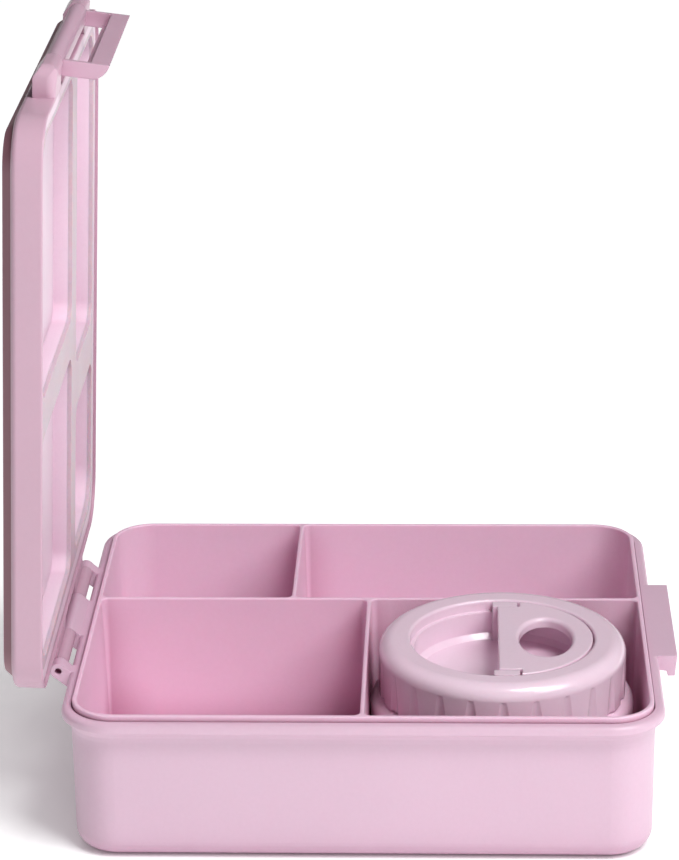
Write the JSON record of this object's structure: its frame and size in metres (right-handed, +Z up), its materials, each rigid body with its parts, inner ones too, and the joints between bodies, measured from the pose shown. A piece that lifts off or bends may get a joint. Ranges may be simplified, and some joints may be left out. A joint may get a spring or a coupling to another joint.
{
  "type": "bento lunch box",
  "caption": "Rectangular lunch box with an open hinged lid, a tray divided into compartments and a round screw-capped food jar in one of them.",
  "frame": {"origin": "centre of the flat underside of the base, which rests on the table", "axes": "+Z up; -X towards the hinge, +X towards the catch; the wider front compartments and the jar face -Y"},
  "size_m": [0.2462, 0.194, 0.2886],
  "materials": {
    "pin_pink": "satin moulded plastic",
    "base_pink": "satin moulded plastic",
    "tray_pink": "satin moulded plastic",
    "lid_pink": "satin moulded plastic with a glossy edge",
    "liner_pink": "satin moulded plastic",
    "seal_silicone": "translucent grey silicone",
    "latch_pink": "satin moulded plastic",
    "pin_steel": "drawn wire",
    "jar_pink": "satin moulded plastic",
    "cup_steel": "brushed inside",
    "cap_pink": "fine matt moulded plastic",
    "gasket_silicone": "soft translucent silicone"
  },
  "bodies": {
    "base": {"base_shell": "base_pink", "hinge_pin": "pin_pink"},
    "lid": {"lid_outer_shell": "lid_pink", "lid_inner_liner": "liner_pink", "lid_seal": "seal_silicone", "latch_pin": "pin_steel"},
    "latch": {"latch_clip": "latch_pink"},
    "tray": {"compartment_tray": "tray_pink"},
    "jar": {"jar_outer_shell": "jar_pink", "jar_base_disc": "jar_pink", "jar_inner_liner": "cup_steel", "jar_neck_ring": "jar_pink"},
    "cap_seal": {"cap_gasket": "gasket_silicone"},
    "cap": {"cap_shell": "cap_pink", "cap_floor_disc": "cap_pink", "handle_pin_front": "pin_steel", "handle_pin_back": "pin_steel"},
    "handle": {"carry_handle": "cap_pink"}
  },
  "joints": [
    {"name": "lid_hinge", "type": "hinge", "parent": "base", "child": "lid", "pos_m": [-0.1142, 0, 0.0556], "axis": [0, -1, 0], "range_deg": [-87.5, 0]},
    {"name": "latch_hinge", "type": "hinge", "parent": "lid", "child": "latch", "pos_m": [-0.10767, 0, 0.28533], "axis": [0, -1, 0], "range_deg": [0, 120]},
    {"name": "tray_lift", "type": "slide", "parent": "base", "child": "tray", "axis": [0, 0, 1], "range_m": [0, 0.065]},
    {"name": "jar_lift", "type": "slide", "parent": "tray", "child": "jar", "axis": [0, 0, 1], "range_m": [0, 0.07]},
    {"name": "cap_rise", "type": "slide", "parent": "jar", "child": "cap_seal", "axis": [0, 0, 1], "range_m": [0, 0.0061]},
    {"name": "cap_turn", "type": "hinge", "parent": "cap_seal", "child": "cap", "pos_m": [0.0513, -0.0364, 0.0565], "axis": [0, 0, 1], "range_deg": [0, 540]},
    {"name": "handle_fold", "type": "hinge", "parent": "cap", "child": "handle", "pos_m": [0.0539, -0.0364, 0.06225], "axis": [0, -1, 0], "range_deg": [0, 100]}
  ],
  "couplings": [
    {"joint": "cap_rise", "follows": "cap_turn", "m_per_rad": 0.00063662}
  ]
}
